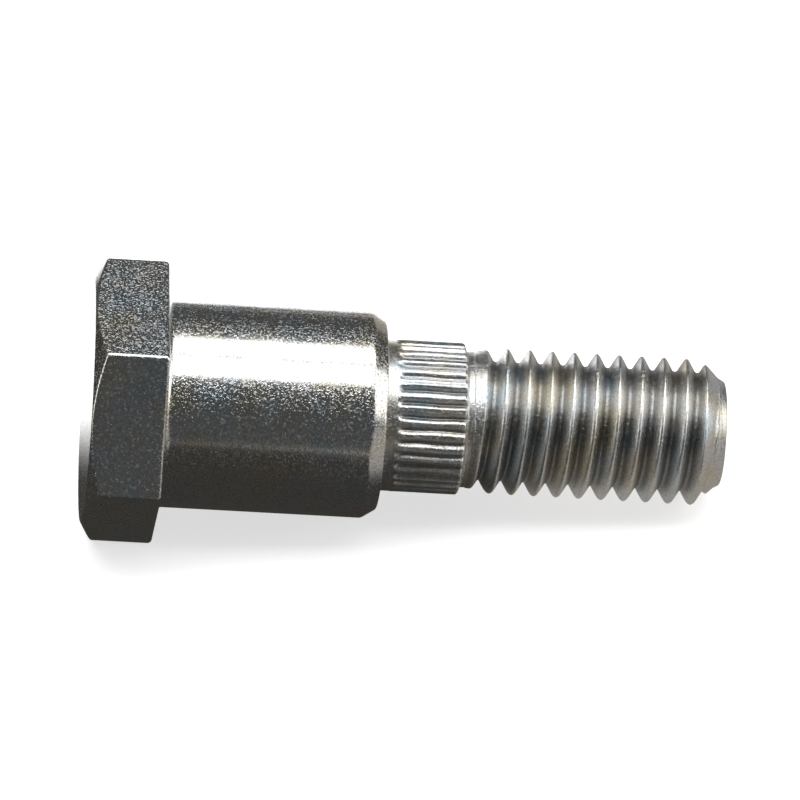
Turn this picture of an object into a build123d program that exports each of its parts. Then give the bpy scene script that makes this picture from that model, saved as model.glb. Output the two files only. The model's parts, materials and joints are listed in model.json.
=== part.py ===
"""Hex-head shoulder bolt, one piece of steel: head, plain shoulder, straight knurl, neck and thread.

The bolt is made along its own axis first. There Z runs from the head to the thread's end, Z = 0 is the
bearing face under the head, and X is the normal of one flat of the hexagon. It is then laid down as a
loose bolt lies: on that flat's lower edge and on a crest near the thread's end, with +Z up, the floor at
Z = 0, the head towards -X and the origin under the middle of its box. All sizes are in millimetres.
"""
from math import atan, atan2, cos, degrees, floor, radians, sin, sqrt, tan
import os

from build123d import *

NODE = "shoulder_bolt"

# Head
HEAD_ACROSS_FLATS = 21.7
HEAD_HEIGHT = 6.4
HEAD_CHAMFER_ANGLE = 30.0  # degrees, between the chamfer and the end face
HEAD_FACE_INSET = 0.08  # how far the end face's circle stays inside the flats
HEAD_CORNER_RADIUS = 0.25  # the six upright corners
BEARING_EDGE_CHAMFER = 0.15  # where the flats meet the bearing face
NECK_FILLET = 0.55  # radius between the bearing face and the shoulder
NECK_FILLET_STEPS = 3  # straight steps that the round is turned in, each within 0.02 mm of it

# Shoulder, a 3/4 in long running surface
SHOULDER_DIAMETER = 18.0
SHOULDER_LENGTH = 19.05
SHOULDER_CHAMFER_LENGTH = 1.25
SHOULDER_CHAMFER_DEPTH = 0.8

# Straight knurl that grips the hole it is pressed into, with a plain land between it and the shoulder
KNURL_DIAMETER = 13.15
LAND_LENGTH = 1.0
KNURL_LENGTH = 6.15
KNURL_TEETH = 34
KNURL_GROOVE_DEPTH = 0.42
KNURL_GROOVE_ANGLE = 72.0  # degrees, between a groove's two walls
KNURL_GROOVE_RUN_IN = 0.6  # length over which a groove reaches its depth
KNURL_END_CHAMFER = 0.3  # the sloped ends of the teeth

# Neck and thread: 1/2-13 UNC, cut left-handed
NECK_DIAMETER = 11.75
NECK_LENGTH = 0.3
THREADS_PER_INCH = 13
THREAD_MAJOR_DIAMETER = 12.65
THREAD_FLANK_ANGLE = 60.0  # degrees, between two flanks
THREAD_DEPTH_IN_PITCHES = 0.594  # from crest to root
THREAD_ROOT_IN_PITCHES = 0.16  # the flat bottom of the groove
THREAD_LENGTH = 22.3  # from the neck to the end of the bolt
CREST_RUN_IN = 2.5  # length over which the crests rise from the neck to the major diameter
GROOVE_RUN_IN = 1.35  # from the neck to where the groove has its full depth
GROOVE_RUN_IN_TURNS = 0.75
GROOVE_START_ANGLE = 138.0  # degrees about the axis, from X towards Y
POINT_CHAMFER_ANGLE = 45.0
POINT_DIAMETER = 9.5
POINT_RIM_LENGTH = 0.3  # the small second chamfer round the end face
POINT_RIM_DEPTH = 0.25

# Sizes worked out from those above
PITCH = 25.4 / THREADS_PER_INCH
FLAT_DISTANCE = HEAD_ACROSS_FLATS / 2
CORNER_DISTANCE = HEAD_ACROSS_FLATS / sqrt(3)
FACE_RADIUS = FLAT_DISTANCE - HEAD_FACE_INSET
SHOULDER_RADIUS = SHOULDER_DIAMETER / 2
KNURL_RADIUS = KNURL_DIAMETER / 2
NECK_RADIUS = NECK_DIAMETER / 2
MAJOR_RADIUS = THREAD_MAJOR_DIAMETER / 2
ROOT_RADIUS = MAJOR_RADIUS - THREAD_DEPTH_IN_PITCHES * PITCH
POINT_FACE_RADIUS = POINT_DIAMETER / 2
KNURL_START = SHOULDER_LENGTH + LAND_LENGTH
KNURL_END = KNURL_START + KNURL_LENGTH
THREAD_START = KNURL_END + NECK_LENGTH
BOLT_END = THREAD_START + THREAD_LENGTH
POINT_CHAMFER_LENGTH = (MAJOR_RADIUS - POINT_FACE_RADIUS) / tan(radians(POINT_CHAMFER_ANGLE))
POINT_CHAMFER_START = BOLT_END - POINT_RIM_LENGTH - POINT_CHAMFER_LENGTH
GROOVE_START = THREAD_START + GROOVE_RUN_IN


def revolved(outline):
    """The solid of revolution of a closed outline, given as a sketch of (radius, Z) in the XZ plane."""
    return revolve(outline, axis=Axis.Z)


def head():
    """A hexagonal prism with rounded corners, cut back by the cone of the 30-degree chamfer."""
    hexagon = RegularPolygon(CORNER_DISTANCE, 6, rotation=30)
    hexagon = fillet(hexagon.vertices(), HEAD_CORNER_RADIUS)
    prism = extrude(Plane.XY.offset(-HEAD_HEIGHT) * hexagon, HEAD_HEIGHT)
    bearing_edges = prism.faces().sort_by(Axis.Z)[-1].edges()
    prism = chamfer(bearing_edges, BEARING_EDGE_CHAMFER)
    outer = CORNER_DISTANCE + 1
    cone_rise = (outer - FACE_RADIUS) * tan(radians(HEAD_CHAMFER_ANGLE))
    cone = Polygon(
        (0, -HEAD_HEIGHT),
        (FACE_RADIUS, -HEAD_HEIGHT),
        (outer, cone_rise - HEAD_HEIGHT),
        (outer, 1),
        (0, 1),
        align=None,
    )
    return prism & revolved(Plane.XZ * cone)


def neck_fillet_corners():
    """The round under the head as corners on its arc, from the bearing face to the shoulder."""
    angles = [radians(90 * step / NECK_FILLET_STEPS) for step in range(NECK_FILLET_STEPS + 1)]
    centre = SHOULDER_RADIUS + NECK_FILLET
    return [(centre - NECK_FILLET * sin(angle), NECK_FILLET - NECK_FILLET * cos(angle)) for angle in angles]


def shoulder_and_knurl_blank():
    """Everything turned between the head and the thread, before the knurl is rolled into it."""
    inside_head = -HEAD_HEIGHT / 2
    fillet_rim = SHOULDER_RADIUS + NECK_FILLET
    chamfer_start = SHOULDER_LENGTH - SHOULDER_CHAMFER_LENGTH
    chamfer_end_radius = SHOULDER_RADIUS - SHOULDER_CHAMFER_DEPTH
    with BuildLine() as outline:
        Line((0, inside_head), (fillet_rim, inside_head))
        Line((fillet_rim, inside_head), (fillet_rim, 0))
        Polyline(*neck_fillet_corners())
        Line((SHOULDER_RADIUS, NECK_FILLET), (SHOULDER_RADIUS, chamfer_start))
        Line((SHOULDER_RADIUS, chamfer_start), (chamfer_end_radius, SHOULDER_LENGTH))
        Line((chamfer_end_radius, SHOULDER_LENGTH), (KNURL_RADIUS, SHOULDER_LENGTH))
        Line((KNURL_RADIUS, SHOULDER_LENGTH), (KNURL_RADIUS, KNURL_END - KNURL_END_CHAMFER))
        Line((KNURL_RADIUS, KNURL_END - KNURL_END_CHAMFER), (KNURL_RADIUS - KNURL_END_CHAMFER, KNURL_END))
        Line((KNURL_RADIUS - KNURL_END_CHAMFER, KNURL_END), (NECK_RADIUS, KNURL_END))
        Line((NECK_RADIUS, KNURL_END), (NECK_RADIUS, THREAD_START))
        Line((NECK_RADIUS, THREAD_START), (0, THREAD_START))
        Line((0, THREAD_START), (0, inside_head))
    return revolved(Plane.XZ * make_face(outline.line))


def knurl_grooves():
    """The V-shaped grooves between the teeth. Each rises out of the metal at its end by the shoulder."""
    bottom = KNURL_RADIUS - KNURL_GROOVE_DEPTH
    top = KNURL_RADIUS + 0.5
    half_width = (top - bottom) * tan(radians(KNURL_GROOVE_ANGLE / 2))
    length = KNURL_END - KNURL_START + 1
    section = Polygon((bottom, 0), (top, -half_width), (top, half_width), align=None)
    prism = extrude(Plane.XY.offset(KNURL_START) * section, length)
    slope = KNURL_GROOVE_RUN_IN / KNURL_GROOVE_DEPTH
    side = Polygon(
        (bottom, KNURL_START + KNURL_GROOVE_RUN_IN),
        (top, KNURL_START + KNURL_GROOVE_RUN_IN - slope * (top - bottom)),
        (top, KNURL_START + length),
        (bottom, KNURL_START + length),
        align=None,
    )
    groove = prism & extrude(Plane.XZ * side, half_width, both=True)
    return [Rot(0, 0, 360 * tooth / KNURL_TEETH) * groove for tooth in range(KNURL_TEETH)]


def thread_section():
    """The groove's section in the XZ plane, and its half width where it meets the crests."""
    spread = tan(radians(THREAD_FLANK_ANGLE / 2))
    root_half = THREAD_ROOT_IN_PITCHES * PITCH / 2
    crest_half = root_half + (MAJOR_RADIUS - ROOT_RADIUS) * spread
    over_crest = 0.06 * PITCH
    outer = MAJOR_RADIUS + over_crest
    outer_half = crest_half + over_crest * spread
    section = Polygon(
        (ROOT_RADIUS, -root_half),
        (outer, -outer_half),
        (outer, outer_half),
        (ROOT_RADIUS, root_half),
        align=None,
    )
    return section, crest_half


def threaded_shank():
    """The thread is a V groove carried along a left-handed helix through a plain rod, which is then trimmed
    by the outline of the neck, the rising crests and the chamfered point."""
    section, _ = thread_section()
    section = Pos(0, 0, GROOVE_START) * (Plane.XZ * section)
    past_end = BOLT_END + PITCH
    helix = Edge.make_helix(PITCH, past_end - GROOVE_START, ROOT_RADIUS, (0, 0, GROOVE_START), lefthand=True)
    groove = sweep(section, helix, is_frenet=True)
    # The groove fades out towards the neck along a conical helix, wound back from the same section.
    rise = 1.1 * (MAJOR_RADIUS - ROOT_RADIUS)
    run = GROOVE_RUN_IN_TURNS * PITCH
    cone_angle = atan(rise / run)
    fade = Edge.make_helix(
        PITCH / cos(cone_angle),
        run,
        ROOT_RADIUS,
        (0, 0, GROOVE_START),
        normal=(0, 0, -1),
        angle=degrees(cone_angle),
        lefthand=True,
    )
    start = fade @ 0
    fade = fade.rotate(Axis.Z, -degrees(atan2(start.Y, start.X)))
    fading_groove = sweep(section, fade, is_frenet=True)

    rod_start = THREAD_START - PITCH
    rod = Pos(0, 0, rod_start) * Cylinder(
        MAJOR_RADIUS, past_end + PITCH - rod_start, align=(Align.CENTER, Align.CENTER, Align.MIN)
    )
    turn = Rot(0, 0, GROOVE_START_ANGLE)
    rod = rod - turn * groove
    rod = rod - turn * fading_groove
    return rod & thread_envelope()


def thread_envelope():
    """The outline that the crests stay inside: neck, rising cone, major diameter, chamfer and point."""
    joint = KNURL_END + NECK_LENGTH / 2
    rim_start = BOLT_END - POINT_RIM_LENGTH
    rim_radius = POINT_FACE_RADIUS - POINT_RIM_DEPTH
    with BuildLine() as outline:
        Line((0, joint), (NECK_RADIUS, joint))
        Line((NECK_RADIUS, joint), (NECK_RADIUS, THREAD_START))
        Line((NECK_RADIUS, THREAD_START), (MAJOR_RADIUS, THREAD_START + CREST_RUN_IN))
        Line((MAJOR_RADIUS, THREAD_START + CREST_RUN_IN), (MAJOR_RADIUS, POINT_CHAMFER_START))
        Line((MAJOR_RADIUS, POINT_CHAMFER_START), (POINT_FACE_RADIUS, rim_start))
        Line((POINT_FACE_RADIUS, rim_start), (rim_radius, BOLT_END))
        Line((rim_radius, BOLT_END), (0, BOLT_END))
        Line((0, BOLT_END), (0, joint))
    return revolved(Plane.XZ * make_face(outline.line))


def last_crest_underneath():
    """Z of the end of the last full crest on the side away from X, which lies on the floor."""
    _, crest_half = thread_section()
    first_root = GROOVE_START + PITCH * (GROOVE_START_ANGLE - 180) / 360
    turns = floor((POINT_CHAMFER_START + crest_half - first_root) / PITCH)
    return first_root + turns * PITCH - crest_half


def resting_plane(bolt):
    """The plane that the bolt's own XY plane moves to when it lies at rest.

    The floor touches the bolt's lower outline, a row of corners (Z, distance from the axis), in the two
    corners either side of its centre of mass that no other corner reaches below.
    """
    chamfer_rise = (CORNER_DISTANCE - FACE_RADIUS) * tan(radians(HEAD_CHAMFER_ANGLE))
    corners = [
        (chamfer_rise - HEAD_HEIGHT, FLAT_DISTANCE),
        (-BEARING_EDGE_CHAMFER, FLAT_DISTANCE),
        (0, FLAT_DISTANCE - BEARING_EDGE_CHAMFER),
        (SHOULDER_LENGTH - SHOULDER_CHAMFER_LENGTH, SHOULDER_RADIUS),
        (KNURL_END - KNURL_END_CHAMFER, KNURL_RADIUS),
        (last_crest_underneath(), MAJOR_RADIUS),
        (BOLT_END - POINT_RIM_LENGTH, POINT_FACE_RADIUS),
    ]
    middle = bolt.center(CenterOf.MASS).Z

    def reach(corner, tilt):
        along, out = corner
        return along * sin(tilt) + out * cos(tilt)

    tilts = []
    for behind in corners:
        for ahead in corners:
            if behind[0] < middle < ahead[0]:
                tilt = atan2(behind[1] - ahead[1], ahead[0] - behind[0])
                lowest = max(reach(corner, tilt) for corner in corners)
                if reach(behind, tilt) > lowest - 1e-6:
                    tilts.append((tilt, lowest))
    tilt, lowest = tilts[0]
    up = (sin(tilt), 0, cos(tilt))
    along = (cos(tilt), 0, -sin(tilt))
    return Plane(origin=(0, 0, lowest), x_dir=up, z_dir=along), tilt


turned = shoulder_and_knurl_blank() - knurl_grooves()
bolt = head() + turned + threaded_shank()
plane, tilt = resting_plane(bolt)
resting = plane.location * bolt
box = resting.bounding_box()
shift = Vector(-box.center().X, -box.center().Y, 0)
resting = Pos(shift) * resting
resting.label = NODE

os.makedirs("parts", exist_ok=True)
export_step(resting, f"parts/{NODE}.step")

print(f"{NODE}: {len(resting.solids())} solid, {resting.volume:.1f} mm3, {len(resting.faces())} faces")
print(f"tilt {degrees(tilt):.4f} degrees, bearing face centre {plane.origin + shift}")
print(f"size {box.size}, thread pitch {PITCH:.4f}, length under the head {BOLT_END:.2f}")
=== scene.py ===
# %% [markdown]
# # A zinc-plated shoulder bolt
#
# A shoulder bolt is a pin and a bolt in one piece of steel. A wheel or lever turns on the plain, thick
# shoulder, the teeth of the knurl bite into the plate behind it, and the thread takes a nut. The whole bolt
# is one skin, so this lesson works out that skin region by region as numpy arrays, joins the regions into one
# closed mesh, and then spends its time on the finish: bright zinc with fine pits, rub marks and faint tints.
#
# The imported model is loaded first. It is the fixed frame that everything is measured from.

# %% Load the frame
import json

import bpy
import numpy as np
from mathutils import Matrix, Vector


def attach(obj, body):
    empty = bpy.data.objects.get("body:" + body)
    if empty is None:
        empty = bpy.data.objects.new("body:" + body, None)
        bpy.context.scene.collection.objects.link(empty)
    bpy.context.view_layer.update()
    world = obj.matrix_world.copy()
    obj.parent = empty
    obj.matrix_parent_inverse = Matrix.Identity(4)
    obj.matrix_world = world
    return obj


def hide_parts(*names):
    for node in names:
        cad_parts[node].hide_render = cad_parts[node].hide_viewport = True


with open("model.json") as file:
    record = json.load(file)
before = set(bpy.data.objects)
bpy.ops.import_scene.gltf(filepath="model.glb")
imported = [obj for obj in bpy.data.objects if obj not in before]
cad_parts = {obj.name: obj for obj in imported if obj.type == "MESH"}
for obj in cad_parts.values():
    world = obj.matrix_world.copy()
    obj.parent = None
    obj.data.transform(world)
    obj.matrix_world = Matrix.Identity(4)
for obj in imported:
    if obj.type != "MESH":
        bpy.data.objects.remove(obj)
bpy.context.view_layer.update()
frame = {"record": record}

# %% [markdown]
# ## The bolt's own axis
#
# A loose bolt lies on one flat of its head and on a crest near the thread's end, so its axis dips towards
# the thread. Turned work is easiest to describe along its own axis, so every region is made there in
# millimetres: height 0 is the bearing face under the head, heights grow towards the thread, and angle 0 is
# the flat of the head that looks up. The record's mounts say where that axis lies, and one function lays
# any set of points down on it.

# %% The axis at rest
mounts = {mount["name"]: mount for mount in frame["record"]["mounts"]}
along = np.array(mounts["shoulder"]["axis"])
along /= np.linalg.norm(along)
upwards = np.array([-along[2], 0.0, along[0]])
sideways = np.array([0.0, -1.0, 0.0])
SHOULDER_LENGTH = 19.05
on_axis = np.array(mounts["shoulder"]["pos_m"])
shoulder_end = np.array(mounts["shoulder_end_face"]["pos_m"])
bearing_centre = on_axis + along * ((shoulder_end - on_axis) @ along - SHOULDER_LENGTH / 1000)


def lay_down(radius, angle, height):
    """A point goes out from the axis by its radius in the direction of its angle, then along the axis by
    its height. Millimetres in, metres in the row frame out, as an array with x, y, z last."""
    radius, angle, height = np.broadcast_arrays(radius, angle, height)
    out = np.cos(angle)[..., None] * upwards + np.sin(angle)[..., None] * sideways
    return bearing_centre + (radius[..., None] * out + height[..., None] * along) / 1000


print("bearing face centre, mm:", np.round(bearing_centre * 1000, 3))
print("dip of the axis, degrees:", round(float(np.degrees(np.arcsin(-along[2]))), 3))

# %% [markdown]
# ## Edges that are never sharp
#
# Plated steel has no knife edges: each one is rubbed to a small round, and that round is what draws the thin
# white line along the edge of a real bolt. A bevel modifier could cut it, but here the outline itself carries
# the rounds. The function takes a row of corners and puts an arc of its own radius in each. A corner may
# differ from angle to angle round the bolt, which is how the same few lines also make the hexagon.

# %% An outline with rounded corners
def rounded_outline(radii, heights, rounds, rows):
    """At each corner the arc touches both straights at a distance of round x tan(half the turn), and its
    points are spread evenly over the turn. Between two arcs the points crowd towards both ends by a cosine,
    which keeps the shading of the straight true. radii and heights are corners x columns."""
    corner = np.stack(np.broadcast_arrays(radii, heights), axis=-1).astype(float)
    step = np.diff(corner, axis=0)
    step /= np.linalg.norm(step, axis=-1, keepdims=True)
    start, points = corner[0], []
    for k, size in enumerate(rounds, start=1):
        before, after = step[k - 1], step[k]
        turn = np.arctan2(before[..., 0] * after[..., 1] - before[..., 1] * after[..., 0],
                          (before * after).sum(-1))
        touch = size * np.tan(np.abs(turn) / 2)[..., None]
        first, last = corner[k] - touch * before, corner[k] + touch * after
        points.append(straight(start, first, rows[k - 1][0], k == 1))
        side = np.sign(turn)[..., None] * np.stack([-before[..., 1], before[..., 0]], axis=-1)
        share = np.linspace(0, 1, rows[k - 1][1])[:, None] * np.abs(turn)
        swing = size * (np.sin(share)[..., None] * before + (1 - np.cos(share))[..., None] * side)
        points.append(first + swing)
        start = last
    points.append(straight(start, corner[-1], rows[-1][0], False)[1:])
    points.append(corner[-1][None])
    skin = np.concatenate(points)
    return skin[..., 0], skin[..., 1]


def straight(start, end, count, with_start):
    """Points of a straight, spaced by half a cosine wave so that they crowd towards its ends."""
    share = (1 - np.cos(np.pi * np.arange(count) / count)) / 2
    line = start + share[:, None, None] * (end - start)
    return line if with_start else line[1:]


# %% [markdown]
# ## The head and the shoulder
#
# The head is a hexagon from drawn bar with a 30-degree chamfer turned on its end, and the shoulder is turned
# and ground from the same bar. Both are one grid: its columns are directions round the axis, and its rows
# follow the outline from the middle of the end face, over the chamfer, down the flats, across the bearing
# face, round the fillet and along the shoulder. Only two corners of the outline change with the direction,
# and they ride on the hexagon. Columns crowd at the hexagon's corners, where the outline turns fast.

# %% Columns that crowd at the hexagon's corners
ACROSS_FLATS = 21.7
HEAD_HEIGHT = 6.4
CORNER_ROUND = 0.4
half_flats = ACROSS_FLATS / 2
corner_centre = (half_flats - CORNER_ROUND) / np.cos(np.pi / 6)
arc_end = np.degrees(np.arctan2(CORNER_ROUND / 2, corner_centre + CORNER_ROUND * np.cos(np.pi / 6)))
on_the_flat = [1.15, 1.5, 2.2, 3.2, 5.5, 8.5, 12, 16, 20, 25, 30]
half_sector = np.concatenate([np.linspace(0, arc_end, 5), on_the_flat])
sector = np.concatenate([half_sector, 60 - half_sector[-2:0:-1]])
head_angles = np.radians((30 + np.arange(6)[:, None] * 60 + sector).ravel())


def hexagon_radius(angle):
    """Distance from the axis to a hexagon with round corners: half the width over the cosine of the angle
    from the nearest flat, or the far side of the corner's circle where that is nearer."""
    from_corner = np.abs(angle % (np.pi / 3) - np.pi / 6)
    flat = half_flats / np.cos(np.pi / 6 - from_corner)
    inside = np.maximum(CORNER_ROUND**2 - (corner_centre * np.sin(from_corner)) ** 2, 0)
    arc = corner_centre * np.cos(from_corner) + np.sqrt(inside)
    return np.where(from_corner < np.radians(arc_end), arc, flat)


hexagon = hexagon_radius(head_angles)
print("head columns:", len(head_angles))
print("hexagon from", round(hexagon.min(), 3), "to", round(hexagon.max(), 3))

# %% The skin of the head and shoulder
FACE_RADIUS = 10.66
SHOULDER_RADIUS = 9.0
same = np.ones_like(hexagon)
chamfer_rise = (hexagon - FACE_RADIUS) * np.tan(np.radians(30))
head_radii = [1.2 * same, FACE_RADIUS * same, hexagon, hexagon, SHOULDER_RADIUS * same,
              SHOULDER_RADIUS * same, 8.2 * same, 7.45 * same]
head_heights = [-HEAD_HEIGHT * same, -HEAD_HEIGHT * same, chamfer_rise - HEAD_HEIGHT, 0 * same, 0 * same,
                17.8 * same, SHOULDER_LENGTH * same, SHOULDER_LENGTH * same]
head_rounds = [0.15, 0.29, 0.38, 0.55, 0.55, 0.25]
head_rows = [(6, 4), (4, 5), (9, 6), (5, 9), (22, 6), (5, 5), (3, 0)]
head_r, head_h = rounded_outline(head_radii, head_heights, head_rounds, head_rows)
print("head and shoulder rows x columns:", head_r.shape, "length", round(float(np.ptp(head_h)), 3))

# %% [markdown]
# ## The knurl
#
# A straight knurl is pressed into the bolt by a toothed wheel, so its grooves are V-shaped, their walls
# bulge a little, and no two teeth are quite alike. The plain outline of land, knurl and neck is made first.
# The teeth are then a share taken off its radius, measured from the neck outwards: the share is a function
# of the direction, and it fades in where the wheel's edge ran out towards the shoulder.

# %% Outline of land, knurl and neck
KNURL_START, KNURL_END = 20.05, 26.2
LAND_RADIUS, KNURL_RADIUS, NECK_RADIUS = 6.53, 6.575, 5.875
TEETH = 34
PER_TOOTH = 12
knurl_angles = 2 * np.pi * (np.arange(TEETH * PER_TOOTH) + 0.5) / (TEETH * PER_TOOTH)
even = np.ones_like(knurl_angles)
RING_HEIGHT = 26.75
land_corners = [
    (7.1, SHOULDER_LENGTH), (LAND_RADIUS, SHOULDER_LENGTH), (LAND_RADIUS, KNURL_START),
    (KNURL_RADIUS, KNURL_START + 0.25), (KNURL_RADIUS, KNURL_END - 0.22), (NECK_RADIUS, KNURL_END + 0.02),
    (NECK_RADIUS, RING_HEIGHT),
]
land_radii = [radius * even for radius, _ in land_corners]
land_heights = [height * even for _, height in land_corners]
land_rounds = [0.12, 0.3, 0.3, 0.22, 0.16]
land_rows = [(3, 4), (4, 3), (3, 3), (14, 6), (4, 4), (3, 0)]
knurl_r, knurl_h = rounded_outline(land_radii, land_heights, land_rounds, land_rows)
print("outline from", round(float(knurl_h.min()), 2), "to", round(float(knurl_h.max()), 2), "mm")

# %% Teeth pressed into the outline
FULL_DEPTH = 0.42  # counts as wholly in the groove
chance = np.random.default_rng(26)
groove_depth = 0.40 * (1 + 0.10 * chance.standard_normal(TEETH))
groove_shift = 0.03 * chance.standard_normal(TEETH)
groove_wave = 2 * np.pi * chance.random(TEETH)
tooth_height = 0.025 * chance.standard_normal(TEETH)


def groove_share(angle, height):
    """How deep the surface lies in its groove, from 0 on a tooth to 1 at the groove's bottom. It is a
    V in the distance from the groove's middle, softened at the bottom by a square root of squares and at
    the tooth's shoulders by the smooth maximum of the V and 0. Each groove wanders a little along its
    length, as a sine of the height."""
    tooth = angle / (2 * np.pi) * TEETH
    number = np.floor(tooth).astype(int) % TEETH
    width = 2 * np.pi * KNURL_RADIUS / TEETH
    wander = 0.035 * np.sin(1.3 * height + groove_wave[number])
    away = (tooth - np.floor(tooth) - 0.5) * width - groove_shift[number] - wander
    v_shape = 1.05 - np.sqrt(away**2 + 0.05**2) / 0.34
    share = (v_shape + np.sqrt(v_shape**2 + 0.16**2)) / 2
    return share * groove_depth[number], number


share, number = groove_share(knurl_angles, knurl_h)
fade_in = np.clip((knurl_h - KNURL_START + 0.1) / 0.7, 0, 1)
fade_in = fade_in * fade_in * (3 - 2 * fade_in)
outwards = (knurl_r - NECK_RADIUS) / (KNURL_RADIUS - NECK_RADIUS)
on_knurl = fade_in * np.clip(outwards, 0, 1)
knurl_dip = on_knurl * share
knurl_r = knurl_r - knurl_dip + on_knurl * tooth_height[number]
print("knurl rows x columns:", knurl_r.shape, "deepest groove", round(float(knurl_dip.max()), 3))

# %% [markdown]
# ## The thread
#
# A rolled thread has 60-degree flanks, a round root and slightly round crests, and it runs round the bolt as
# a helix: this one left-handed, 13 turns to the inch. A grid with level rows would cut every crest at a
# slant and leave it jagged. So the rows follow the helix instead: each row stays on the crest, the flank or
# the root for all its length, and after one turn it meets the row one pitch further on.

# %% Shape of the thread
PITCH = 25.4 / 13
MAJOR_RADIUS = 6.36  # before the crests are rounded, which takes a little off
ROOT_RADIUS = 5.165
ROOT_ROUND = 0.27
GROOVE_START, START_ANGLE = 27.85, np.radians(138)
NECK_END = 26.5
CREST_RUN_IN = 2.5  # length over which the crests rise
CREST_SOFTNESS = 0.2
ROOT_RISE = 1.276 / 1.465  # how fast the groove runs out towards the neck
POINT_RADIUS, POINT_HEIGHT, BOLT_END = 4.8, 48.25, 48.8


def turns(angle, height):
    """Whole numbers lie in the middle of the groove, halves on the crests. A left-hand helix falls by one
    pitch as the angle makes one turn."""
    return (height - GROOVE_START) / PITCH + (angle - START_ANGLE) / (2 * np.pi)


def thread_radius(angle, height):
    """The groove is an arc with straight flanks that touch it at 30 degrees. It meets the envelope of neck,
    rising crests, major diameter and 45-degree point in a smooth minimum, which rounds the crests.
    Returns the radius and how deep the point lies in the groove, from 0 to 1."""
    turn = turns(angle, height)
    away = np.abs(turn - np.round(turn)) * PITCH
    middle = height - (turn - np.round(turn)) * PITCH
    root = ROOT_RADIUS + np.maximum(GROOVE_START - middle, 0) * ROOT_RISE
    touch = ROOT_ROUND * np.cos(np.pi / 6)
    arc = ROOT_ROUND - np.sqrt(np.maximum(ROOT_ROUND**2 - np.minimum(away, touch) ** 2, 0))
    flank = np.maximum(away - touch, 0) / np.tan(np.pi / 6)
    groove = root + arc + flank
    rising = NECK_RADIUS + (height - NECK_END) * (MAJOR_RADIUS - NECK_RADIUS) / CREST_RUN_IN
    envelope = np.clip(rising, NECK_RADIUS, MAJOR_RADIUS)
    envelope = np.minimum(envelope, POINT_RADIUS + POINT_HEIGHT - height)
    gap = groove - envelope
    radius = envelope + (gap - np.sqrt(gap**2 + CREST_SOFTNESS**2)) / 2
    depth = np.clip((envelope - radius - CREST_SOFTNESS / 2) / (MAJOR_RADIUS - ROOT_RADIUS), 0, 1)
    return radius, depth


# %% Rows that follow the helix
THREAD_COLUMNS = 160
thread_angles = np.pi + 2 * np.pi * np.arange(THREAD_COLUMNS) / THREAD_COLUMNS
low_ring, high_ring = RING_HEIGHT, 48.1
in_root = np.array([0, 0.06, 0.12, 0.17])
on_flank = np.array([0.22, 0.29, 0.35, 0.395])
on_crest = np.array([0.42, 0.445, 0.472])
half_turn = np.concatenate([in_root, on_flank, on_crest])
pattern = np.concatenate([half_turn, [0.5], 1 - half_turn[:0:-1]])
per_turn = len(pattern)
first_turn = int(np.floor(turns(np.pi, low_ring))) - 1
last_turn = int(np.ceil(turns(3 * np.pi, high_ring))) + 1
row_turns = (np.arange(first_turn, last_turn)[:, None] + pattern).ravel()
spiral_h = GROOVE_START + PITCH * (row_turns[:, None] - (thread_angles - START_ANGLE) / (2 * np.pi))
spacing = np.gradient(spiral_h[:, 0])[:, None]
inside = (spiral_h > low_ring + 0.5 * spacing) & (spiral_h < high_ring - 0.5 * spacing)
thread_r, thread_depth = thread_radius(thread_angles, spiral_h)
print("rows to a turn:", per_turn, "points on the thread:", int(inside.sum()))

# %% [markdown]
# ## The point
#
# The thread's end has a 45-degree chamfer that cuts its last crests away, so that a nut finds its way on,
# and a plain face as the bar was sheared and faced. Both are level rings again.

# %% The end of the bolt
point_corners_r = [POINT_RADIUS + POINT_HEIGHT - high_ring, POINT_RADIUS, 4.5, 0.7]
point_corners_h = [high_ring, POINT_HEIGHT, BOLT_END, BOLT_END]
flat_columns = np.ones(THREAD_COLUMNS)
point_r, point_h = rounded_outline(
    [r * flat_columns for r in point_corners_r],
    [h * flat_columns for h in point_corners_h],
    [0.2, 0.2],
    [(2, 4), (3, 6), (7, 0)],
)
low_r, low_depth = thread_radius(thread_angles, np.full(THREAD_COLUMNS, low_ring))
high_r, _ = thread_radius(thread_angles, np.full(THREAD_COLUMNS, high_ring))
point_r[0] = high_r
print("thread radius at the lower ring:", round(float(low_r.min()), 3), "to", round(float(low_r.max()), 3))

# %% [markdown]
# ## One closed skin
#
# The regions share no columns: the head has 180, the knurl 408 and the thread 160. Where two of them meet on
# a plain ring, a zip of triangles closes the gap. It walks round both rings at once, always taking the
# nearer next point, which is a sort of all their angles. The helical rows are clipped to level rings at both
# ends, and the faces that shrink to nothing there are left out.

# %% Faces between rows, and the zip between rings
def grid_faces(index):
    """Each face takes two neighbouring rows and two neighbouring columns, and the last column meets the
    first one. Rows run along the bolt and columns round it, so this order faces outwards."""
    after = np.roll(index, -1, axis=1)
    return np.stack([index[:-1], after[:-1], after[1:], index[1:]], axis=-1).reshape(-1, 4)


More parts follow.
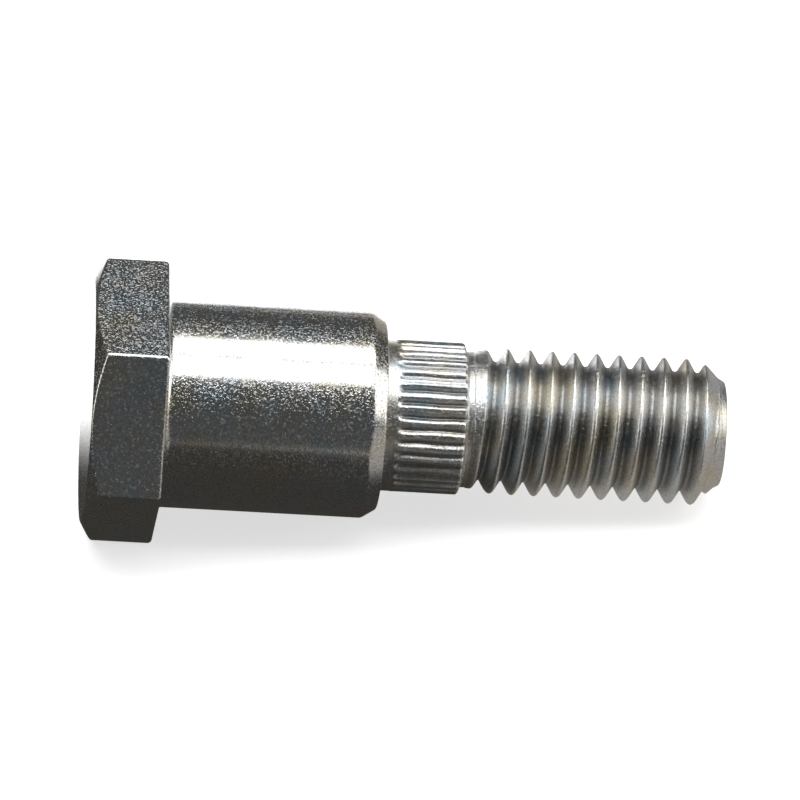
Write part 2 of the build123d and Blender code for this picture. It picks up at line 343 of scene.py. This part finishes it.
def zip_faces(lower, lower_angles, upper, upper_angles):
    """All points of both rings are put in the order of their angles. Each point makes a triangle with the
    point before it on its own ring and the latest point of the other ring."""
    angles = np.concatenate([lower_angles, upper_angles])
    is_upper = np.arange(len(angles)) >= len(lower)
    order = np.argsort(angles, kind="stable")
    is_upper = is_upper[order]
    n, m = len(lower), len(upper)
    low_order, up_order = np.argsort(lower_angles), np.argsort(upper_angles)
    low_count, up_count = np.cumsum(~is_upper), np.cumsum(is_upper)
    low_now, low_before = lower[low_order[(low_count - 1) % n]], lower[low_order[(low_count - 2) % n]]
    up_now, up_before = upper[up_order[(up_count - 1) % m]], upper[up_order[(up_count - 2) % m]]
    on_low = np.stack([low_before, low_now, up_now], axis=-1)
    on_up = np.stack([up_before, low_now, up_now], axis=-1)
    return np.where(is_upper[:, None], on_up, on_low)


# %% Number all points
head_index = np.arange(head_r.size).reshape(head_r.shape)
knurl_index = head_index.size + np.arange(knurl_r.size).reshape(knurl_r.shape)
start = head_index.size + knurl_index.size
low_index = start + np.arange(THREAD_COLUMNS)
spiral_index = np.full(inside.shape, -1)
spiral_index[inside] = low_index[-1] + 1 + np.arange(inside.sum())
point_index = low_index[-1] + 1 + inside.sum() + np.arange(point_r.size).reshape(point_r.shape)
head_pole, point_pole = point_index[-1, -1] + 1, point_index[-1, -1] + 2
below = spiral_h <= low_ring + 0.5 * spacing
spiral_index = np.where(inside, spiral_index, np.where(below, low_index, point_index[0]))
print("points numbered:", point_pole + 1)

# %% Faces of the thread
lower, upper = spiral_index[:-1], spiral_index[1:]
turned_low = np.concatenate([np.full(per_turn, low_index[0]), spiral_index[:-per_turn, 0]])
next_column = np.concatenate([spiral_index[:, 1:], turned_low[:, None]], axis=1)
quads = np.stack([lower, next_column[:-1], next_column[1:], upper], axis=-1).reshape(-1, 4)
fans = np.concatenate([
    np.stack([np.full(len(head_angles), head_pole), np.roll(head_index[0], -1), head_index[0]], axis=-1),
    np.stack([np.full(THREAD_COLUMNS, point_pole), point_index[-1], np.roll(point_index[-1], -1)], axis=-1),
])
print("thread faces before the empty ones go:", len(quads))

# %% Build the mesh
parts = [
    lay_down(head_r, head_angles, head_h).reshape(-1, 3),
    lay_down(knurl_r, knurl_angles, knurl_h).reshape(-1, 3),
    lay_down(low_r, thread_angles, low_ring),
    lay_down(thread_r, thread_angles, spiral_h)[inside],
    lay_down(point_r, thread_angles, point_h).reshape(-1, 3),
    lay_down(0.0, 0.0, -HEAD_HEIGHT)[None],
    lay_down(0.0, 0.0, BOLT_END)[None],
]
points = np.concatenate(parts)
four_sided = np.concatenate([grid_faces(head_index), grid_faces(knurl_index), quads, grid_faces(point_index)])
three_sided = np.concatenate([
    fans,
    zip_faces(head_index[-1], head_angles % (2 * np.pi), knurl_index[0], knurl_angles),
    zip_faces(knurl_index[-1], knurl_angles, low_index, thread_angles % (2 * np.pi)),
])


def without_empty_faces(quads):
    """A quad whose neighbouring corners are the same point is a triangle, or nothing if two pairs are."""
    repeats = quads == np.roll(quads, -1, axis=1)
    count = repeats.sum(axis=1)
    full = quads[count == 0]
    thin, marks = quads[count == 1], repeats[count == 1]
    kept = thin[~marks].reshape(-1, 3)
    crossed = (full[:, 0] == full[:, 2]) | (full[:, 1] == full[:, 3])
    return full[~crossed], kept


four_sided, extra = without_empty_faces(four_sided)
three_sided = np.concatenate([three_sided, extra])
print("points", len(points), "quads", len(four_sided), "triangles", len(three_sided))


# %% Check that the skin is closed and faces outwards
def edge_pairs(faces):
    """Every side of every face as (from, to)."""
    return np.stack([faces, np.roll(faces, -1, axis=1)], axis=-1).reshape(-1, 2)


sides = np.concatenate([edge_pairs(four_sided), edge_pairs(three_sided)])
forward = np.unique(sides, axis=0)
backward = np.unique(sides[:, ::-1], axis=0)
closed = len(forward) == len(sides) and np.array_equal(forward, backward)
triangles = np.concatenate([three_sided, four_sided[:, [0, 1, 2]], four_sided[:, [0, 2, 3]]])
a, b, c = (points[triangles[:, k]] - bearing_centre for k in range(3))
volume = 1e9 * np.einsum("ij,ij->", a, np.cross(b, c)) / 6
print("closed:", closed, "volume, mm3:", round(float(volume), 1), "triangles:", len(triangles))

# %% Hand the arrays to Blender
skin = bpy.data.meshes.new("zinc_bolt")
loops = np.concatenate([four_sided.ravel(), three_sided.ravel()]).astype(np.int32)
sizes = np.concatenate([np.full(len(four_sided), 4), np.full(len(three_sided), 3)])
skin.vertices.add(len(points))
skin.vertices.foreach_set("co", points.astype(np.float32).ravel())
skin.loops.add(len(loops))
skin.loops.foreach_set("vertex_index", loops)
skin.polygons.add(len(sizes))
skin.polygons.foreach_set("loop_start", np.concatenate([[0], np.cumsum(sizes)[:-1]]).astype(np.int32))
skin.polygons.foreach_set("use_smooth", np.ones(len(sizes), dtype=bool))
skin.update(calc_edges=True)
skin.validate()
print("mesh:", len(skin.vertices), "vertices,", len(skin.polygons), "faces")

# %% [markdown]
# Three facts about each point are useful to the finish later: how deep it lies in a groove, where the colour
# is darkened as painted shade; which tool path it lies on, which the fine lines of turning and rolling
# follow;
# and which trade made it. They are stored as attributes of the mesh.

# %% Attributes for the finish
groove = np.concatenate([
    np.zeros(head_r.size), (knurl_dip / FULL_DEPTH).ravel(), low_depth, thread_depth[inside],
    np.zeros(point_r.size + 2),
])
lane = np.concatenate([
    (head_h + head_r).ravel(), knurl_h.ravel(), np.full(THREAD_COLUMNS, low_ring),
    (PITCH * turns(thread_angles, spiral_h))[inside], (point_h - point_r).ravel(), [0, 0],
])
rolled = np.concatenate([np.zeros(head_r.size), np.ones(len(points) - head_r.size - 2), [0, 1]])
for name, values in (("groove", groove), ("lane", lane), ("rolled", rolled)):
    layer = skin.attributes.new(name, "FLOAT", "POINT")
    layer.data.foreach_set("value", values.astype(np.float32))
bolt = bpy.data.objects.new("zinc_bolt", skin)
bpy.context.scene.collection.objects.link(bolt)
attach(bolt, "root")
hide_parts("shoulder_bolt")
print("attributes:", [layer.name for layer in skin.attributes if not layer.name.startswith(".")])

# %% [markdown]
# ## Bright zinc
#
# Bright zinc plate is a mirror that has been tumbled with thousands of other bolts. Its colour is a light
# neutral grey with faint straw and blue tints from the clear dip after plating, and its surface is a mirror
# broken up by pits and rub marks a few tenths of a millimetre wide. A noise texture for each of these, at
# its real size, is cheaper and closer to the truth than one big pattern. A small helper keeps the node code
# short, and a mapping node turns the pattern so that its x runs along the bolt.

# %% Helpers for nodes
zinc = bpy.data.materials.new("bright_zinc")
zinc.use_nodes = True
tree = zinc.node_tree
shader = tree.nodes["Principled BSDF"]


def node(kind, links=(), tree=tree, **settings):
    """Adds a node, sets its properties and sockets, and links outputs into it: (output, input name)."""
    made = tree.nodes.new(kind)
    for name, value in settings.items():
        if name in made.inputs:
            made.inputs[name].default_value = value
        else:
            setattr(made, name, value)
    for output, socket in links:
        tree.links.new(output, made.inputs[socket])
    return made


def ramp(source, stops, tree=tree):
    """A colour ramp from (position, grey or colour) stops."""
    made = node("ShaderNodeValToRGB", [(source, "Fac")], tree)
    band = made.color_ramp
    for k, (place, value) in enumerate(stops):
        stop = band.elements[k] if k < 2 else band.elements.new(place)
        stop.position = place
        stop.color = (value, value, value, 1) if np.isscalar(value) else (*value, 1)
    return made.outputs["Color"]


def scaled(source, low, high, tree=tree):
    """Maps 0 to 1 onto low to high."""
    made = node("ShaderNodeMapRange", [(source, "Value")], tree)
    made.inputs["To Min"].default_value = low
    made.inputs["To Max"].default_value = high
    return made.outputs["Result"]


def math_node(operation, first, second, tree=tree):
    """One sum, product or the like of two outputs or numbers."""
    made = tree.nodes.new("ShaderNodeMath")
    made.operation = operation
    for k, value in enumerate((first, second)):
        if isinstance(value, (int, float)):
            made.inputs[k].default_value = value
        else:
            tree.links.new(value, made.inputs[k])
    return made.outputs[0]


# %% Coordinates along the bolt, in millimetres
dip = float(np.arcsin(-along[2]))
coordinates = node("ShaderNodeTexCoord")
aligned = node("ShaderNodeMapping", [(coordinates.outputs["Object"], "Vector")])
aligned.vector_type = "TEXTURE"
aligned.inputs["Scale"].default_value = (0.001, 0.001, 0.001)
aligned.inputs["Rotation"].default_value = (0, dip, 0)
aligned.inputs["Location"].default_value = tuple(bearing_centre)
place = aligned.outputs["Vector"]


def noise(scale, detail, roughness):
    """Noise whose features are about 1 / scale millimetres wide."""
    return node("ShaderNodeTexNoise", [(place, "Vector")], Scale=scale, Detail=detail, Roughness=roughness)


print("pattern space turned by degrees:", round(float(np.degrees(dip)), 3))

# %% Colour: speckle, tints and painted shade in the grooves
def attribute(name):
    """The mesh attribute of that name, as a number."""
    return node("ShaderNodeAttribute", attribute_name=name).outputs["Fac"]


def multiply(first, second):
    """One colour times another."""
    made = node("ShaderNodeMix", data_type="RGBA", blend_type="MULTIPLY")
    made.inputs["Factor"].default_value = 1.0
    tree.links.new(first, made.inputs[6])
    tree.links.new(second, made.inputs[7])
    return made.outputs[2]


in_groove, lane_at, is_rolled = [attribute(name) for name in ("groove", "lane", "rolled")]
speckle = noise(5.0, 3.0, 0.65)
speckle_tone = ramp(speckle.outputs["Fac"], [(0.38, 0.64), (0.60, 0.88)])
tint_noise = noise(0.25, 2.0, 0.5)
BLUE, CLEAR, STRAW = (0.86, 0.96, 1.0), (1.0, 1.0, 0.99), (1.0, 0.95, 0.82)
tint = ramp(tint_noise.outputs["Fac"], [(0.32, BLUE), (0.48, CLEAR), (0.66, STRAW)])
# Painted shade: the base colour darkens with depth in the knurl and thread grooves, down to 0.35 at the
# bottom.
painted_groove_shade = ramp(in_groove, [(0.25, 1.0), (1.0, 0.35)])
tree.links.new(multiply(multiply(speckle_tone, tint), painted_groove_shade), shader.inputs["Base Color"])
shader.inputs["Metallic"].default_value = 1.0

# %% Gloss: how sharp the mirror is
smear = noise(0.9, 3.0, 0.6)
gloss = scaled(smear.outputs["Fac"], 0.14, 0.26)
spots = ramp(noise(4.2, 2.0, 0.6).outputs["Fac"], [(0.55, 0.0), (0.66, 1.0)])
polished = math_node("MULTIPLY", math_node("SUBTRACT", 1.0, is_rolled), 0.04)
gloss = math_node("SUBTRACT", math_node("ADD", gloss, math_node("MULTIPLY", spots, 0.30)), polished)
gloss = math_node("ADD", gloss, math_node("MULTIPLY", is_rolled, 0.10))
tree.links.new(gloss, shader.inputs["Roughness"])

# %% Relief: pits, tumbling marks and tool lines
pits = noise(6.0, 1.0, 0.5)
pit_height = ramp(pits.outputs["Fac"], [(0.58, 0.0), (0.72, 1.0)])
grain = noise(9.0, 2.0, 0.6)
orange_peel = noise(0.9, 1.0, 0.4)
lines = node("ShaderNodeTexNoise", [(lane_at, "W")], noise_dimensions="1D", Scale=9.0, Detail=3.0)
line_depth = math_node("MULTIPLY", lines.outputs["Fac"], scaled(is_rolled, 0.0, 0.02))
roughened = scaled(is_rolled, 0.0022, 0.008)
relief = math_node("MULTIPLY", pit_height, 0.013)
relief = math_node("ADD", relief, math_node("MULTIPLY", grain.outputs["Fac"], roughened))
relief = math_node("ADD", relief, math_node("MULTIPLY", orange_peel.outputs["Fac"], 0.005))
relief = math_node("ADD", relief, line_depth)
bump = node("ShaderNodeBump", [(relief, "Height")])
bump.inputs["Distance"].default_value = 0.001
bump.inputs["Strength"].default_value = 1.0
tree.links.new(bump.outputs["Normal"], shader.inputs["Normal"])
skin.materials.append(zinc)
print("nodes in the zinc:", len(tree.nodes))

# %% [markdown]
# ## Floor, light and camera
#
# A bright metal looks like what stands round it. The floor is a pale sheet that glows a little for the
# camera. The metal mirrors that same glow only in a patch behind the bolt. Elsewhere the floor shows mirrored
# rays a painted reflection: a dark warm glow in front and a grey one at the thread's end, in place of a dark
# table that is not in the scene, which paints the steel's dark bands. The light is a plain wide soft box
# overhead in two panels, with a smaller panel past each end of the bolt.

# %% Floor and world
floor_mesh = bpy.data.meshes.new("floor")
floor_mesh.from_pydata([(-2, -2, 0), (2, -2, 0), (2, 2, 0), (-2, 2, 0)], [], [(0, 1, 2, 3)])
floor = bpy.data.objects.new("floor", floor_mesh)
bpy.context.scene.collection.objects.link(floor)
paper = bpy.data.materials.new("pale_floor")
paper.use_nodes = True
nodes = paper.node_tree
surface = nodes.nodes["Principled BSDF"]
surface.inputs["Base Color"].default_value = (0.9, 0.9, 0.9, 1)
surface.inputs["Roughness"].default_value = 0.8
surface.inputs["Specular IOR Level"].default_value = 0.0
rays = node("ShaderNodeLightPath", tree=nodes)
spot = node("ShaderNodeTexCoord", tree=nodes)
split = node("ShaderNodeSeparateXYZ", [(spot.outputs["Object"], "Vector")], nodes)


def fade(source, start, end):
    """0 at start and 1 at end, in metres along one axis of the floor, either way round."""
    made = node("ShaderNodeMapRange", [(source, "Value")], nodes, interpolation_type="SMOOTHSTEP")
    made.inputs["From Min"].default_value = start
    made.inputs["From Max"].default_value = end
    return made.outputs["Result"]


across, beside = split.outputs["X"], split.outputs["Y"]
thread_side = fade(across, 0.004, 0.014)
strip = math_node("MULTIPLY", fade(beside, 0.002, 0.012), fade(beside, 0.095, 0.075), nodes)
head_side = math_node("SUBTRACT", 1.0, thread_side, nodes)
middle = math_node("MULTIPLY", fade(across, -0.05, -0.035), head_side, nodes)
behind = math_node("MULTIPLY", strip, middle, nodes)
mirrored = math_node("MAXIMUM", rays.outputs["Is Glossy Ray"], rays.outputs["Is Transmission Ray"], nodes)
seen = math_node("ADD", rays.outputs["Is Camera Ray"], math_node("MULTIPLY", mirrored, behind, nodes), nodes)
glow = node("ShaderNodeEmission", [(math_node("MULTIPLY", seen, 0.66, nodes), "Strength")], nodes)
lit = node("ShaderNodeAddShader", [(surface.outputs[0], 0), (glow.outputs[0], 1)], nodes)
# Painted reflection: outside the patch, mirrored rays see a dark warm glow (0.045, or up to 0.365 at the
# thread's end) instead of the lit floor. It paints the dark bands on the steel.
level = math_node("ADD", math_node("MULTIPLY", thread_side, 0.32, nodes), 0.045, nodes)
painted_dark_reflection = node("ShaderNodeEmission", [(level, "Strength")], nodes)
painted_dark_reflection.inputs["Color"].default_value = (1.0, 0.94, 0.87, 1)
painted_reflection_mask = math_node("MULTIPLY", mirrored, math_node("SUBTRACT", 1.0, behind, nodes), nodes)
blend = node("ShaderNodeMixShader", [(painted_reflection_mask, 0), (lit.outputs[0], 1), (painted_dark_reflection.outputs[0], 2)], nodes)
nodes.links.new(blend.outputs[0], nodes.nodes["Material Output"].inputs["Surface"])
floor_mesh.materials.append(paper)

world = bpy.data.worlds.new("studio")
bpy.context.scene.world = world
world.use_nodes = True
sky = world.node_tree
background = sky.nodes["Background"]
sky_rays = node("ShaderNodeLightPath", tree=sky)
sky_level = math_node("MULTIPLY_ADD", sky_rays.outputs["Is Camera Ray"], 0.9, sky)
sky_level.node.inputs[2].default_value = 0.07
sky.links.new(sky_level, background.inputs["Strength"])
background.inputs["Color"].default_value = (0.93, 0.98, 1, 1)
bpy.context.scene.view_settings.view_transform = "Standard"
print("floor nodes:", len(nodes.nodes), "world nodes:", len(sky.nodes))


# %% Soft boxes
def soft_box(name, centre, towards, width, length, level):
    """A flat lamp: its power is level x pi x area, so level is how bright its face looks."""
    data = bpy.data.lights.new(name, "AREA")
    data.shape = "RECTANGLE"
    data.size, data.size_y = width, length
    data.energy = level * np.pi * width * length
    made = bpy.data.objects.new(name, data)
    centre, towards = np.array(centre, float), np.array(towards, float)
    back = (centre - towards) / np.linalg.norm(centre - towards)
    side = np.cross([0, 1, 0], back)
    side /= np.linalg.norm(side)
    over = np.cross(back, side)
    made.matrix_world = Matrix([[side[k], over[k], back[k], centre[k]] for k in range(3)] + [[0, 0, 0, 1]])
    bpy.context.scene.collection.objects.link(made)
    return made


def overhead(name, start, end, level, reach=0.6, half_length=0.5):
    """A panel across the bolt, from one angle behind the zenith to another, in degrees."""
    a, b = np.radians(start), np.radians(end)
    p, q = reach * np.array([np.sin(a), np.cos(a)]), reach * np.array([np.sin(b), np.cos(b)])
    middle, width = (p + q) / 2, np.linalg.norm(p - q)
    return soft_box(name, (0, middle[0], middle[1]), (0, 0, 0.01), 2 * half_length, width, level)


overhead("panel_behind", 31, 10.5, 2.8)
overhead("panel_in_front", 6.0, -16, 2.8)
soft_box("right_panel", (0.5, 0.0, 0.17), (0, 0, 0.01), 0.45, 0.32, 1.8)
soft_box("left_panel", (-0.5, -0.05, 0.15), (0, 0, 0.01), 0.3, 0.25, 1.5)

# %% Camera
FOCAL_LENGTH, DISTANCE = 432.77, 0.83196  # millimetres, metres
yaw, rise, roll = np.radians([1.1386, 42.0255, -0.2289])
target = Vector((-0.000106, 0, 0.010637))
back = Vector((-np.sin(yaw) * np.cos(rise), -np.cos(yaw) * np.cos(rise), np.sin(rise)))
right = (-back).cross(Vector((0, 0, 1))).normalized()
over = right.cross(-back)
right_turned = right * np.cos(roll) + over * np.sin(roll)
over_turned = -right * np.sin(roll) + over * np.cos(roll)
lens = bpy.data.cameras.new("camera")
lens.sensor_width = 36
lens.lens = FOCAL_LENGTH
lens.clip_start, lens.clip_end = 0.01, 20
camera = bpy.data.objects.new("camera", lens)
place_at = target + back * DISTANCE
camera.matrix_world = Matrix((
    (right_turned.x, over_turned.x, back.x, place_at.x),
    (right_turned.y, over_turned.y, back.y, place_at.y),
    (right_turned.z, over_turned.z, back.z, place_at.z),
    (0, 0, 0, 1),
))
bpy.context.scene.collection.objects.link(camera)
bpy.context.scene.camera = camera
print("camera at", [round(v, 4) for v in place_at])
